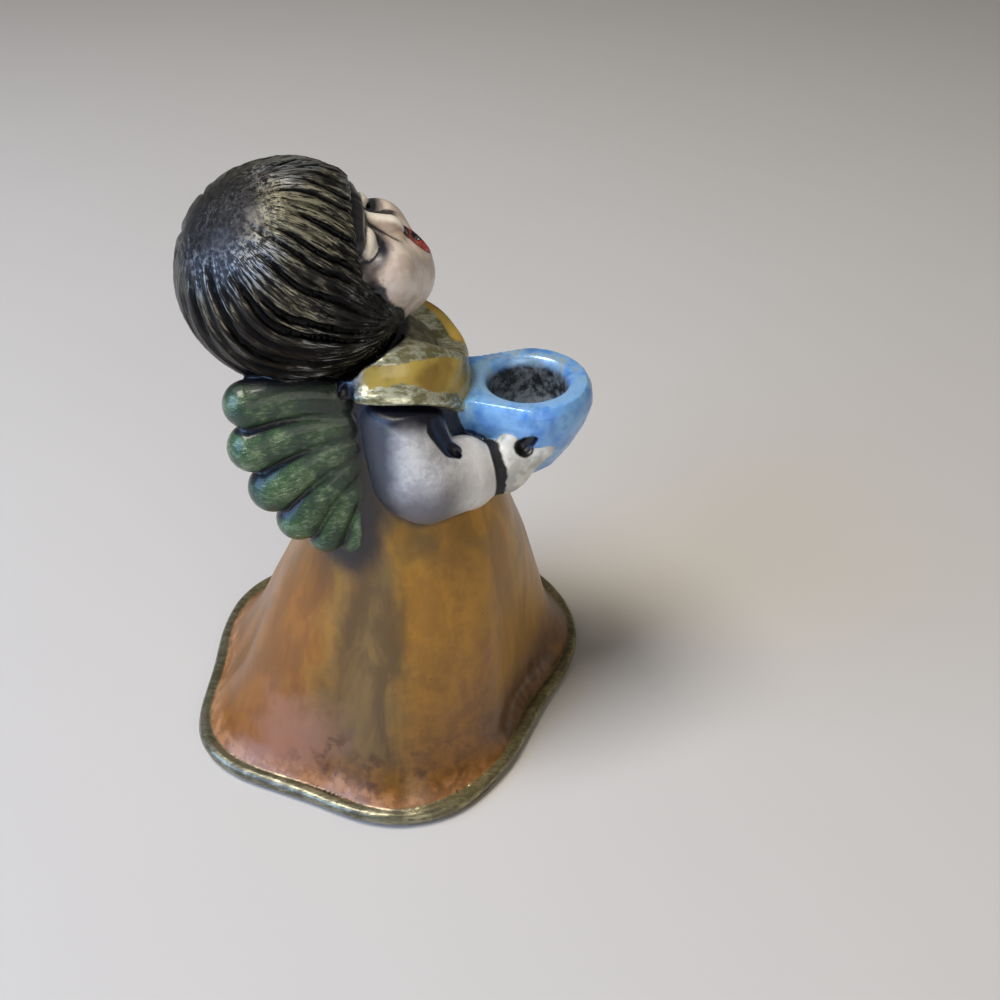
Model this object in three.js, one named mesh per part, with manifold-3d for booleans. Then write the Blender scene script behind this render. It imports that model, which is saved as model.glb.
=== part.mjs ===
// A glazed ceramic candleholder cast in one piece: a singing angel child in a flared robe,
// head tipped back, holding a round cup whose bore takes one half-inch candle.
// Millimetres, +Z up. The figure looks towards -Y, its left hand is on the +X side.

import * as THREE from 'three';
import { mergeVertices } from 'three/addons/utils/BufferGeometryUtils.js';
import Module from 'manifold-3d';

const wasm = await Module();
wasm.setup();

// Driving sizes. Lists of heights and values are read as one smooth curve by along().
const ROBE_RADIUS = 37.5;
const ROBE_HEIGHTS = [0, 3, 8, 14, 22, 32, 45, 58, 70, 80];
const ROBE_SHARE = [1.0, 0.93, 0.835, 0.765, 0.70, 0.615, 0.49, 0.395, 0.355, 0.3];
const ROBE_TOP = 76;
const ROBE_SIDES = 50;
const AXIS_HEIGHTS = [0, 20, 45, 60, 72, 84];
const AXIS_FORWARD = [0.5, 3.2, 6.5, 6.0, 4.5, 2.5];

// The hem's reach from the axis: a round base with soft corners.
const HEM_BASE = 29.4;
const HEM_LOBES = [
  { turn: 47, reach: 13.6, spread: 40 },
  { turn: 141, reach: 12.7, spread: 39 },
  { turn: -152, reach: 9.5, spread: 27 },
  { turn: -78, reach: 7.4, spread: 42 },
  { turn: 11, reach: 3.2, spread: 22 },
];
const HEM_FADE_HEIGHT = 48;
const BEAD_RADIUS = 1.75;
const BEAD_HEIGHT = 1.7;
const BEAD_TOP = 3.4;
const BEAD_INSET = 1.5;

// Soft folds of the robe; a turn of 0 is straight ahead, +90 the figure's left side.
const FOLDS = [
  { turn: -108, height: -1.1, spread: 9 },
  { turn: -84, height: 0.8, spread: 10 },
  { turn: -64, height: -0.4, spread: 8 },
  { turn: -45, height: 0.9, spread: 10 },
  { turn: -135, height: 0.4, spread: 10 },
  { turn: -165, height: 0.5, spread: 10 },
  { turn: 20, height: 0.8, spread: 12 },
  { turn: 60, height: -0.9, spread: 9 },
  { turn: 100, height: 0.6, spread: 14 },
  { turn: 125, height: -0.7, spread: 9 },
  { turn: 160, height: 0.8, spread: 12 },
];
const FOLD_FADE_HEIGHT = 52;

// The valley inside the bead where the front of the hem turns up.
const VALLEY = { turn: -22, spread: 24, height: 5, rise: 3.4, depth: 2.2 };

// The head leans back, turns a little to its left and rolls towards its right shoulder.
const HEAD_FORWARD = -10.1;
const HEAD_HEIGHT = 91.3;
const HEAD_RADIUS = 17.45;
const HEAD_TILT = 42;
const HEAD_TURN = 5;
const HEAD_ROLL = 9;

// The bob swells past the ball at each jaw and over the brow; places are forward, left and up in the head.
const HAIR_SWELLS = [
  { towards: [3.6, 7.5, -12], height: 1.5, spread: 26 },
  { towards: [3.6, -7.5, -12], height: 1.5, spread: 26 },
  { towards: [13, 0, 6.5], height: 0.7, spread: 24 },
];

// Locks of hair sweep in arcs from a whorl at the crown to a corner behind each jaw.
// Shares run from 0 at the whorl to 1 at the corner.
const WHORL = [3.4, -5.0, 16.4];
const LOCK_CORNER = [8.9, 9.5, -13.0];
const PARTING = 0.5;
const LOCKS = 30;
const LOCK_ROWS = 12;
const LOCK_DEPTH = 0.85;
const LOCK_START = 0.14;
const LOCK_FULL = 0.36;
const LOCK_FULL_WIDTH = 2.8;
const LAST_SHARE = 0.9999;

// The face opening in the hair, in the head's own left and up directions.
const OPENING_HALF_WIDTH = 11.7;
const OPENING_TOP = 3.3;
const OPENING_MIDDLE = -3.8;
const OPENING_BOTTOM = -16.0;
const OPENING_POWER = 1.9;
const OPENING_BACK = 4;

// The singing face, in the head's forward, left and up directions; twins are mirrored.
// The eyelids are long ovals that slant outwards and down.
const EYE_SLANT = [-1.3, 2.6, -1.0];
const EYELID_RADII = [1.5, 1.5, 2.7];
const FACE_EGGS = [
  { part: 'skull', centre: [3.0, 0, -5.4], radii: [12.6, 13.2, 12.6], sides: 15 },
  { part: 'chin', centre: [10.6, 0, -11.8], radii: [7.0, 7.0, 6.8], sides: 14 },
  { part: 'nose tip', centre: [16.2, 0, -6.5], radii: [1.9, 1.8, 1.9], sides: 10 },
  { part: 'lips', centre: [16.2, 0, -10.7], radii: [1.9, 2.3, 3.3], sides: 12 },
  { part: 'cheek', centre: [12.0, 6.3, -7.6], radii: [5.4, 5.2, 5.2], sides: 12, twin: true },
  { part: 'eyelid', centre: [14.3, 6.3, -2.1], radii: EYELID_RADII, sides: 8, twin: true, slant: EYE_SLANT },
  { part: 'nostril', centre: [15.6, 1.6, -7.2], radii: [1.5, 1.2, 1.2], sides: 8, twin: true },
];
const NOSE_ROOT = [14.5, 0, -1.4];
const NOSE_END = [16.2, 0, -5.2];
const MOUTH_CENTRE = [18.5, 0, -10.8];
const MOUTH_RADII = [2.1, 0.9, 2.0];

// The cape over the shoulders.
const CAPE_FORWARD = 3.4;
const CAPE_HEIGHTS = [60, 66, 71, 77, 80, 84, 88];
const CAPE_FRONT = [13.2, 13.6, 14.4, 13.6, 12.2, 10.2, 8.2];
const CAPE_SIDE = [17.0, 17.0, 16.8, 14.6, 12.4, 9.6, 7.6];
const CAPE_BACK = 10.0;
const CAPE_EDGE_FRONT = 66.8;
const CAPE_EDGE_RISE = 9.6;
const CAPE_EDGE_SPREAD = 42;
const NECKLINE_FRONT = 78.4;
const NECKLINE_RISE = 4.9;
const NECKLINE_SPREAD = 28;

// Feathers of one wing: forward, left and up places of the ball at each root and tip, and radii.
const FEATHERS = [
  { root: [-3.4, 9.6, 75.2], tip: [-16.3, 13.6, 76.2], rootRadius: 3.8, tipRadius: 3.9 },
  { root: [-2.6, 9.8, 70.6], tip: [-16.3, 14.4, 68.8], rootRadius: 3.8, tipRadius: 4.1 },
  { root: [-1.8, 10.0, 67.0], tip: [-13.9, 14.8, 61.2], rootRadius: 3.6, tipRadius: 4.1 },
  { root: [-1.2, 10.2, 63.6], tip: [-10.5, 14.8, 54.9], rootRadius: 3.2, tipRadius: 3.8 },
  { root: [-0.6, 10.4, 60.2], tip: [-6.5, 14.0, 50.9], rootRadius: 2.8, tipRadius: 3.3 },
  { root: [0.4, 10.6, 57.0], tip: [-2.2, 13.0, 49.2], rootRadius: 2.3, tipRadius: 2.5 },
];
const FEATHER_ARCH = 1.0;

// The trunk and neck under the cape, and the nape behind: places are forward, left and up.
const TRUNK = { from: [5, 0, 60], to: [3.5, 0, 74], fromRadius: 12.2, toRadius: 10.0 };
const NECK = { from: [1, 0, 78], to: [4.4, 0, 87], fromRadius: 6.0, toRadius: 4.8 };
const NAPE_CENTRE = [-4.5, 0, 76];
const NAPE_RADII = [10.5, 6.5, 7.5];

// One arm: the puffed sleeve with the deep pinch above its elbow, and the hand that holds the cup.
const UPPER_SLEEVE = { from: [7.0, 11.0, 71.2], to: [9.0, 14.2, 63.4], fromRadius: 6.5, toRadius: 7.4 };
const LOWER_SLEEVE = { from: [10.8, 14.1, 62.4], to: [16.4, 11.6, 61.4], fromRadius: 7.5, toRadius: 6.2 };
const PUFF_CENTRE = [16.4, 11.4, 63.2];
const PUFF_RADII = [4.4, 4.4, 4.8];
const PINCH = { from: [13.8, 15.0, 73.2], to: [16.0, 13.6, 67.0], fromRadius: 1.7, toRadius: 0.45 };
const WRIST = { from: [16.4, 11.6, 61.4], to: [23.0, 9.2, 61.4], fromRadius: 4.9, toRadius: 4.5 };
const FINGERS = { from: [23.0, 9.2, 61.4], to: [29.6, 8.4, 64.2], fromRadius: 4.5, toRadius: 1.7 };
const THUMB = { from: [23.4, 9.4, 62.8], to: [24.2, 8.8, 66.4], fromRadius: 2.4, toRadius: 1.8 };

// The cup and its candle bore.
const CUP_FORWARD = 27.1;
const CUP_TOP = 72.5;
const CUP_RIM_RADIUS = 9.9;
const CUP_BELLY_RADIUS = 10.9;
const CUP_DEPTH = 18;
const CUP_NECK_LENGTH = 9;
const CUP_NECK_WIDTH = 0.72;
const BORE_RADIUS = 6.5;
const BORE_MOUTH_RADIUS = 7.1;
const BORE_DEPTH = 10;

const radians = THREE.MathUtils.degToRad;
const at = (forward, left, up) => new THREE.Vector3(left, -forward, up);

// A smooth curve through the values given at rising heights.
function along(heights, values, height) {
  const last = heights.length - 1;
  const slope = (i) => {
    const a = Math.max(i - 1, 0);
    const b = Math.min(i + 1, last);
    return (values[b] - values[a]) / (heights[b] - heights[a]);
  };
  let i = 0;
  while (i < last - 1 && height > heights[i + 1]) i += 1;
  const span = heights[i + 1] - heights[i];
  const t = THREE.MathUtils.clamp((height - heights[i]) / span, 0, 1);
  const rise = values[i + 1] - values[i];
  const start = slope(i) * span;
  const end = slope(i + 1) * span;
  return values[i] + t * (start + t * (3 * rise - 2 * start - end + t * (start + end - 2 * rise)));
}

// A bump of height one at the given turn, fading over its spread, all in degrees.
function bump(angle, turn, spread) {
  const away = THREE.MathUtils.euclideanModulo(angle - turn + 180, 360) - 180;
  return Math.exp(-((away / spread) ** 2));
}

function solidOf(geometry) {
  const bare = geometry.clone();
  bare.deleteAttribute('normal');
  bare.deleteAttribute('uv');
  const merged = mergeVertices(bare, 1e-4);
  return new wasm.Manifold(new wasm.Mesh({
    numProp: 3,
    vertProperties: Float32Array.from(merged.attributes.position.array),
    triVerts: Uint32Array.from(merged.index.array),
  }));
}

function joined(solids) {
  return solids.reduce((whole, solid) => whole.add(solid));
}

// Moves every vertex of a geometry by a function of its place.
function reshaped(geometry, move) {
  const positions = geometry.attributes.position;
  const place = new THREE.Vector3();
  for (let i = 0; i < positions.count; i += 1) {
    place.fromBufferAttribute(positions, i);
    move(place);
    positions.setXYZ(i, place.x, place.y, place.z);
  }
  return geometry;
}

// A cylinder whose side rows stand at shares of its height, from 0 at the foot to 1 at the top.
// shape(turn in degrees, share) gives the forward, left and up place of a side vertex.
function sleeveOf(around, rows, footCentre, topCentre, shape) {
  const cylinder = new THREE.CylinderGeometry(1, 1, 1, around, rows);
  return reshaped(cylinder, (place) => {
    const share = place.y + 0.5;
    const reach = Math.hypot(place.x, place.z);
    if (reach < 0.5) {
      place.copy(share < 0.5 ? footCentre : topCentre);
      return;
    }
    place.copy(shape(THREE.MathUtils.radToDeg(Math.atan2(place.x, place.z)), share));
  });
}

function hemReach(turn) {
  return HEM_LOBES.reduce((sum, lobe) => sum + lobe.reach * bump(turn, lobe.turn, lobe.spread), HEM_BASE);
}

function foldHeight(turn) {
  return FOLDS.reduce((sum, fold) => sum + fold.height * bump(turn, fold.turn, fold.spread), 0);
}

function robeRadius(turn, height) {
  const hemFade = Math.max(1 - height / HEM_FADE_HEIGHT, 0) ** 1.3;
  const foldFade = Math.max(1 - height / FOLD_FADE_HEIGHT, 0) ** 0.7;
  const plain = ROBE_RADIUS * along(ROBE_HEIGHTS, ROBE_SHARE, height);
  const valley = VALLEY.depth * bump(turn, VALLEY.turn, VALLEY.spread)
    * Math.exp(-(((height - VALLEY.height) / VALLEY.rise) ** 2));
  return plain + (hemReach(turn) - ROBE_RADIUS) * hemFade + foldHeight(turn) * foldFade - valley;
}

// The robe with the rolled bead along its hem.
function robe() {
  const beadRows = [0, 0.5, BEAD_HEIGHT, 2.8, BEAD_TOP];
  const robeRows = [5, 8, 12, 17, 23, 31, 40, 50, 62, ROBE_TOP];
  const heights = [...beadRows, ...robeRows];
  const rows = heights.length - 1;
  return sleeveOf(ROBE_SIDES, rows, at(0.5, 0, 0), at(4, 0, ROBE_TOP), (turn, share) => {
    const height = heights[Math.round(share * rows)];
    const lift = height - BEAD_HEIGHT;
    const bulge = Math.sqrt(Math.max(BEAD_RADIUS ** 2 - lift ** 2, 0));
    const bead = hemReach(turn) - BEAD_INSET + bulge;
    const radius = height < BEAD_TOP ? bead : robeRadius(turn, height);
    const middle = along(AXIS_HEIGHTS, AXIS_FORWARD, height);
    const direction = radians(turn);
    return at(middle + radius * Math.cos(direction), radius * Math.sin(direction), height);
  });
}

// A round limb between two points, with a half-ball of its own radius at each end.
function limbShape(from, to, startRadius, endRadius, sides, arcs, rings = 0) {
  const length = from.distanceTo(to);
  const profile = [];
  const ring = (radius, centre, angle) => profile.push(new THREE.Vector2(
    radius * Math.cos(angle),
    centre + radius * Math.sin(angle),
  ));
  for (let i = 0; i <= arcs; i += 1) ring(startRadius, 0, (i / arcs - 1) * Math.PI / 2);
  for (let i = 1; i <= rings; i += 1) {
    const share = i / (rings + 1);
    ring(THREE.MathUtils.lerp(startRadius, endRadius, share), length * share, 0);
  }
  for (let i = 0; i <= arcs; i += 1) ring(endRadius, length, i / arcs * Math.PI / 2);
  profile[0].x = 0;
  profile[profile.length - 1].x = 0;
  const lathe = new THREE.LatheGeometry(profile, sides);
  const direction = to.clone().sub(from).normalize();
  lathe.applyQuaternion(new THREE.Quaternion().setFromUnitVectors(new THREE.Vector3(0, 1, 0), direction));
  lathe.translate(from.x, from.y, from.z);
  return lathe;
}

function limb(...sizes) {
  return solidOf(limbShape(...sizes));
}

// An egg with its long axis along a direction.
function egg(centre, radii, sides, axis = new THREE.Vector3(0, 0, 1)) {
  const ball = new THREE.SphereGeometry(1, sides, Math.ceil(sides * 0.7));
  ball.rotateX(Math.PI / 2);
  ball.scale(...radii);
  const upright = new THREE.Vector3(0, 0, 1);
  ball.applyQuaternion(new THREE.Quaternion().setFromUnitVectors(upright, axis.clone().normalize()));
  ball.translate(centre.x, centre.y, centre.z);
  return solidOf(ball);
}

const tilt = radians(HEAD_TILT);
const turned = radians(HEAD_TURN);
const headForward = at(Math.cos(tilt) * Math.cos(turned), Math.cos(tilt) * Math.sin(turned), Math.sin(tilt));
const levelLeft = at(-Math.sin(turned), Math.cos(turned), 0);
const headLeft = levelLeft.clone().applyAxisAngle(headForward, radians(HEAD_ROLL));
const headUp = headForward.clone().cross(headLeft);
const headPlace = new THREE.Matrix4().makeBasis(headForward, headLeft, headUp)
  .setPosition(at(HEAD_FORWARD, 0, HEAD_HEIGHT));

const inHead = (forward, left, up) => new THREE.Vector3(forward, left, up);

function placed(solid) {
  return solid.transform(headPlace.toArray());
}

function hairSwell(direction) {
  return HAIR_SWELLS.reduce((sum, swell) => {
    const away = direction.angleTo(inHead(...swell.towards)) / radians(swell.spread);
    return sum + swell.height * Math.exp(-(away ** 2));
  }, 0);
}

// The ball combed from the whorl to the corner of one side. Seen flat from the corner, the
// locks are straight spokes round the whorl, so their places are found there and put back.
function combedBall(side) {
  const whorl = inHead(...WHORL).normalize();
  const corner = inHead(...LOCK_CORNER).setY(side * LOCK_CORNER[1]).normalize();
  const across = corner.clone().cross(whorl).normalize();
  const ahead = across.clone().cross(corner);
  const whorlAhead = whorl.dot(ahead) / (1 - whorl.dot(corner));
  const reach = Math.hypot(1, whorlAhead);
  const ball = new THREE.SphereGeometry(1, LOCKS * 2, LOCK_ROWS);
  return solidOf(reshaped(ball, (place) => {
    const share = Math.min(Math.acos(THREE.MathUtils.clamp(place.y, -1, 1)) / Math.PI, LAST_SHARE);
    const around = Math.atan2(place.z, place.x);
    const spoke = reach * share / (1 - share);
    const flatAhead = whorlAhead + spoke * Math.cos(around);
    const flatAcross = spoke * Math.sin(around);
    const size = flatAhead ** 2 + flatAcross ** 2;
    place.copy(ahead).multiplyScalar(2 * flatAhead);
    place.addScaledVector(across, 2 * flatAcross).addScaledVector(corner, size - 1).normalize();
    if (share === LAST_SHARE) place.copy(corner);
    const spacing = HEAD_RADIUS * place.distanceTo(whorl) * place.distanceTo(corner)
      / whorl.distanceTo(corner) * 2 * Math.PI / LOCKS;
    const fade = THREE.MathUtils.smoothstep(share, LOCK_START, LOCK_FULL)
      * Math.min(spacing / LOCK_FULL_WIDTH, 1);
    const groove = 0.5 - 0.5 * Math.cos(LOCKS * around);
    place.multiplyScalar(HEAD_RADIUS + hairSwell(place) - LOCK_DEPTH * groove * fade);
  }));
}

// Each side is combed to its own corner; the two meet at a parting.
function hairBall() {
  const overlap = 0.1;
  const right = combedBall(-1).trimByPlane([0, -1, 0], -PARTING - overlap);
  const left = combedBall(1).trimByPlane([0, 1, 0], PARTING - overlap);
  return right.add(left);
}

function faceOpening() {
  const outline = new THREE.Shape();
  const steps = 36;
  for (let i = 0; i < steps; i += 1) {
    const angle = i / steps * Math.PI * 2;
    const across = Math.sign(Math.cos(angle)) * Math.abs(Math.cos(angle)) ** (2 / OPENING_POWER);
    const upward = Math.sign(Math.sin(angle)) * Math.abs(Math.sin(angle)) ** (2 / OPENING_POWER);
    const half = upward > 0 ? OPENING_TOP - OPENING_MIDDLE : OPENING_MIDDLE - OPENING_BOTTOM;
    const method = i === 0 ? 'moveTo' : 'lineTo';
    outline[method](across * OPENING_HALF_WIDTH, OPENING_MIDDLE + upward * half);
  }
  const plug = new THREE.ExtrudeGeometry(outline, { depth: 20, bevelEnabled: false });
  const forwardOut = new THREE.Matrix4().makeBasis(inHead(0, 1, 0), inHead(0, 0, 1), inHead(1, 0, 0));
  plug.applyMatrix4(forwardOut);
  plug.translate(OPENING_BACK, 0, 0);
  return solidOf(plug);
}

// Full cheeks, closed eyes, a short nose and an open mouth.
function face() {
  const mirrored = ([forward, left, up], side) => inHead(forward, side * left, up);
  const eggs = FACE_EGGS.flatMap(({ centre, radii, sides, twin, slant }) => (
    (twin ? [-1, 1] : [1]).map((side) => (
      egg(mirrored(centre, side), radii, sides, slant && mirrored(slant, side))))));
  const bridge = limb(inHead(...NOSE_ROOT), inHead(...NOSE_END), 1.0, 1.6, 8, 3);
  const mouth = egg(inHead(...MOUTH_CENTRE), MOUTH_RADII, 10);
  return joined([...eggs, bridge]).subtract(mouth);
}

function capeRadius(turn, height) {
  const sideways = Math.sin(radians(THREE.MathUtils.clamp(Math.abs(turn), 0, 180))) ** 2;
  const front = Math.abs(turn) < 90 ? along(CAPE_HEIGHTS, CAPE_FRONT, height) : CAPE_BACK;
  const side = along(CAPE_HEIGHTS, CAPE_SIDE, height);
  return front * (1 - sideways) + side * sideways;
}

function cape() {
  const rows = 6;
  return sleeveOf(32, rows, at(4, 0, 71), at(4, 0, 76), (turn, share) => {
    const foot = CAPE_EDGE_FRONT + CAPE_EDGE_RISE * (1 - Math.exp(-((turn / CAPE_EDGE_SPREAD) ** 2)));
    const direction = radians(turn);
    const top = NECKLINE_FRONT + NECKLINE_RISE * (1 - Math.exp(-((turn / NECKLINE_SPREAD) ** 2)));
    const height = foot + (top - foot) * share;
    const radius = capeRadius(turn, height) - (share === 0 ? 0.5 : 0);
    return at(CAPE_FORWARD + radius * Math.cos(direction), radius * Math.sin(direction), height);
  });
}

// The place of a forward, left and up triple on the left side, or mirrored to the right.
function onSide([forward, left, up], side) {
  return at(forward, side * left, up);
}

function bodyLimb({ from, to, fromRadius, toRadius }, side, sides, arcs) {
  return limb(onSide(from, side), onSide(to, side), fromRadius, toRadius, sides, arcs);
}

function arm(side) {
  const sleeve = joined([
    bodyLimb(UPPER_SLEEVE, side, 15, 3),
    bodyLimb(LOWER_SLEEVE, side, 15, 3),
    egg(onSide(PUFF_CENTRE, side), PUFF_RADII, 12),
  ]);
  return joined([
    sleeve.subtract(bodyLimb(PINCH, side, 8, 2)),
    bodyLimb(WRIST, side, 12, 2),
    bodyLimb(FINGERS, side, 12, 2),
    bodyLimb(THUMB, side, 7, 2),
  ]);
}

// One plump feather: a limb that arches a little upwards between its ends.
function feather(root, tip, rootRadius, tipRadius) {
  const span = tip.clone().sub(root);
  const arched = reshaped(limbShape(root, tip, rootRadius, tipRadius, 9, 3, 1), (place) => {
    const share = place.clone().sub(root).dot(span) / span.lengthSq();
    place.z += FEATHER_ARCH * Math.sin(THREE.MathUtils.clamp(share, 0, 1) * Math.PI);
  });
  return solidOf(arched);
}

function wing(side) {
  return joined(FEATHERS.map(({ root, tip, rootRadius, tipRadius }) => (
    feather(onSide(root, side), onSide(tip, side), rootRadius, tipRadius))));
}

function standing(lathe, forward, up) {
  lathe.rotateX(Math.PI / 2);
  lathe.translate(0, -forward, up);
  return solidOf(lathe);
}

// The cup runs back into the chest in a neck that narrows a little.
function cup() {
  const profile = [[0, -CUP_DEPTH], [3.0, -17.6], [5.8, -15.2], [8.6, -11], [10.4, -6.4],
    [CUP_BELLY_RADIUS, -3.6], [10.7, -1.4], [CUP_RIM_RADIUS, 0], [0, 0]];
  const points = profile.map(([radius, height]) => new THREE.Vector2(radius, height));
  const bowl = new THREE.LatheGeometry(points, 28);
  reshaped(bowl, (place) => {
    if (place.z < -1e-6) {
      place.x *= CUP_NECK_WIDTH;
      place.z -= CUP_NECK_LENGTH;
    }
  });
  return standing(bowl, CUP_FORWARD, CUP_TOP);
}

function candleBore() {
  const profile = [[0, -BORE_DEPTH], [BORE_RADIUS - 0.2, -BORE_DEPTH], [BORE_RADIUS, -1.6],
    [BORE_MOUTH_RADIUS, -0.2], [BORE_MOUTH_RADIUS, 2], [0, 2]];
  const points = profile.map(([radius, height]) => new THREE.Vector2(radius, height));
  return standing(new THREE.LatheGeometry(points, 30), CUP_FORWARD, CUP_TOP);
}

function figure() {
  const hair = hairBall().subtract(faceOpening());
  const body = joined([
    solidOf(robe()),
    bodyLimb(TRUNK, 1, 14, 3),
    bodyLimb(NECK, 1, 12, 3),
    egg(at(...NAPE_CENTRE), NAPE_RADII, 12),
    solidOf(cape()),
    placed(hair.add(face())),
    cup(),
    ...[-1, 1].flatMap((side) => [arm(side), wing(side)]),
  ]);
  return body.subtract(candleBore());
}

// Turns a solid back into a geometry that stands centred on its own foot.
function footed(solid) {
  const mesh = solid.getMesh();
  const geometry = new THREE.BufferGeometry();
  geometry.setAttribute('position', new THREE.BufferAttribute(Float32Array.from(mesh.vertProperties), 3));
  geometry.setIndex(Array.from(mesh.triVerts));
  geometry.computeBoundingBox();
  const { min, max } = geometry.boundingBox;
  geometry.translate(-(min.x + max.x) / 2, -(min.y + max.y) / 2, -min.z);
  geometry.computeVertexNormals();
  return geometry;
}

const glazedCeramic = new THREE.MeshStandardMaterial({ color: 0xa06c2c, roughness: 0.3, metalness: 0.0 });

const angel = new THREE.Mesh(footed(figure()), glazedCeramic);
angel.name = 'angel_candleholder';

const group = new THREE.Group();
group.add(angel);

export default group;
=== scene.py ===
import math

import bmesh
import bpy
import numpy as np
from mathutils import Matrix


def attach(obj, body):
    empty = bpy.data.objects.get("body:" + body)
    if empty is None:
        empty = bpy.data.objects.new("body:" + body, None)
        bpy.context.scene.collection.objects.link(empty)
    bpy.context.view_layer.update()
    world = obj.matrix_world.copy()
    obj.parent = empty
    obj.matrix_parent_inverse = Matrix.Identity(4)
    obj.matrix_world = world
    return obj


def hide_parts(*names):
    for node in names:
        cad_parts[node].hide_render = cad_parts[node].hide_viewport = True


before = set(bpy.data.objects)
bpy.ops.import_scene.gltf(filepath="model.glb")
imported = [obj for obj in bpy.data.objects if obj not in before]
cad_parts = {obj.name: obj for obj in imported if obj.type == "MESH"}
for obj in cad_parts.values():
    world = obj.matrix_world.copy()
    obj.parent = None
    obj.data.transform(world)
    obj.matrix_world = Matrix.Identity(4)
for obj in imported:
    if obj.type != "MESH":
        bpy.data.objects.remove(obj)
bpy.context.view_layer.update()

# A glazed ceramic angel candleholder, cast in one piece and painted by hand.
# The form repeats the named sizes of the part's source, in millimetres, as forward, left and up
# from the foot. It is worked as one soft lump of clay: every shape is a signed distance, below
# zero inside, and the shapes run together with small fillets.

STANDING_PLACE = (0.391, 1.09)   # how far the foot's middle lies to the left and forward

ROBE_RADIUS = 37.5
ROBE_HEIGHTS = [0, 3, 8, 14, 22, 32, 45, 58, 70, 80]
ROBE_SHARE = [1.0, 0.93, 0.835, 0.765, 0.70, 0.615, 0.49, 0.395, 0.355, 0.3]
ROBE_TOP = 76
AXIS_HEIGHTS = [0, 20, 45, 60, 72, 84]
AXIS_FORWARD = [0.5, 3.2, 6.5, 6.0, 4.5, 2.5]

# Lobes of the hem and folds of the robe: turn from straight ahead, reach or height, and spread.
HEM_BASE = 29.4
HEM_LOBES = [(47, 13.6, 40), (141, 12.7, 39), (-152, 9.5, 27), (-78, 7.4, 42), (11, 3.2, 22)]
HEM_FADE_HEIGHT = 48
UNDER_HEM_HEIGHT = 3.4
# The valley where the hem's front turns up: turn and spread, height and spread, depth.
VALLEY = (-22, 24, 5.0, 3.4, 2.2)
SLANT = 0.85   # eases the distance from walls that lean
BEAD_RADIUS = 1.75
BEAD_HEIGHT = 1.7
BEAD_INSET = 1.5
FOLDS = [(-108, -1.1, 9), (-84, 0.8, 10), (-64, -0.4, 8), (-45, 0.9, 10), (-135, 0.4, 10),
         (-165, 0.5, 10), (20, 0.8, 12), (60, -0.9, 9), (100, 0.6, 14), (125, -0.7, 9), (160, 0.8, 12)]
FOLD_FADE_HEIGHT = 52

HEAD_CENTRE = (-10.1, 0, 91.3)
HEAD_RADIUS = 17.45
HEAD_TILT = 42
HEAD_TURN = 5
HEAD_ROLL = 9
# The locks leave a whorl at the crown and gather at the two lower front corners of the bob.
WHORL = (3.4, -5.0, 16.4)
LOCK_CORNER = (8.9, 9.5, -13.0)
LOCKS = 30
HAIR_SWELLS = [((3.6, 7.5, -12), 1.5, 26), ((3.6, -7.5, -12), 1.5, 26), ((13, 0, 6.5), 0.7, 24)]
OPENING_HALF_WIDTH = 11.7
OPENING_TOP = 3.3
OPENING_MIDDLE = -3.8
OPENING_BOTTOM = -16.0
OPENING_POWER = 1.9
OPENING_BACK = 4

CAPE_FORWARD = 3.4
CAPE_HEIGHTS = [60, 66, 71, 77, 80, 84, 88]
CAPE_FRONT = [13.2, 13.6, 14.4, 13.6, 12.2, 10.2, 8.2]
CAPE_SIDE = [17.0, 17.0, 16.8, 14.6, 12.4, 9.6, 7.6]
CAPE_BACK = 10.0
CAPE_EDGE = (66.8, 9.6, 42)
NECKLINE = (78.4, 4.9, 28)

# Feathers: root, tip, and the radii at both.
FEATHERS = [
    ((-3.4, 9.6, 75.2), (-16.3, 13.6, 76.2), 3.8, 3.9),
    ((-2.6, 9.8, 70.6), (-16.3, 14.4, 68.8), 3.8, 4.1),
    ((-1.8, 10.0, 67.0), (-13.9, 14.8, 61.2), 3.6, 4.1),
    ((-1.2, 10.2, 63.6), (-10.5, 14.8, 54.9), 3.2, 3.8),
    ((-0.6, 10.4, 60.2), (-6.5, 14.0, 50.9), 2.8, 3.3),
    ((0.4, 10.6, 57.0), (-2.2, 13.0, 49.2), 2.3, 2.5),
]
FEATHER_ARCH = 1.0

CUP_FORWARD = 27.1
CUP_TOP = 72.5
CUP_PROFILE = [(0, -18), (3.0, -17.6), (5.4, -15.2), (8.1, -11), (10.2, -6.4), (10.9, -3.6), (10.7, -1.4),
               (9.9, 0), (0, 0)]
CUP_NECK_LENGTH = 9
CUP_NECK_WIDTH = 0.72
BORE_PROFILE = [(0, -10), (6.3, -10), (6.5, -1.6), (7.1, -0.2), (7.1, 3), (0, 3)]

# The lump of clay, the grid it is measured on, and the skin taken off it.
CLAY_LOW = (-37.5, -39.0)
CLAY_HIGH = (40.5, 39.8, 112)
STEPS_BELOW_FOOT = 2.5
GRID_STEP = 0.42
MOST_FACES = 150000
LAST_MOVE = 0.3
CRUMB_FACES = 1000
# The part of the head, forward, left and up, that gets finer faces.
FINE_FORWARD = 10.5
FINE_LEFT = 11.5
FINE_UP = (-15.5, 2.5)
# Low relief is weaker on the face and stops at the foot.
FACE_RELIEF = 0.2
FOOT_HEIGHT = 0.3
# How far the paint sees beside a shape, and out from a crease or a hollow.
PAINT_REACH = 8
CREASE_REACH = 0.9
HOLLOW_REACH = 3.5

CAMERA_PLACE = (-0.1539, -0.0214, 0.1668)
CAMERA_PITCH = 38
CAMERA_LENS = 38.95


# Working in clay.

def smooth_step(value, low, high):
    share = np.clip((value - low) / (high - low), 0, 1)
    return share * share * (3 - 2 * share)


def length(parts):
    return np.sqrt(sum(part * part for part in parts))


def less(spot, centre):
    return [part - middle for part, middle in zip(spot, centre)]


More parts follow.
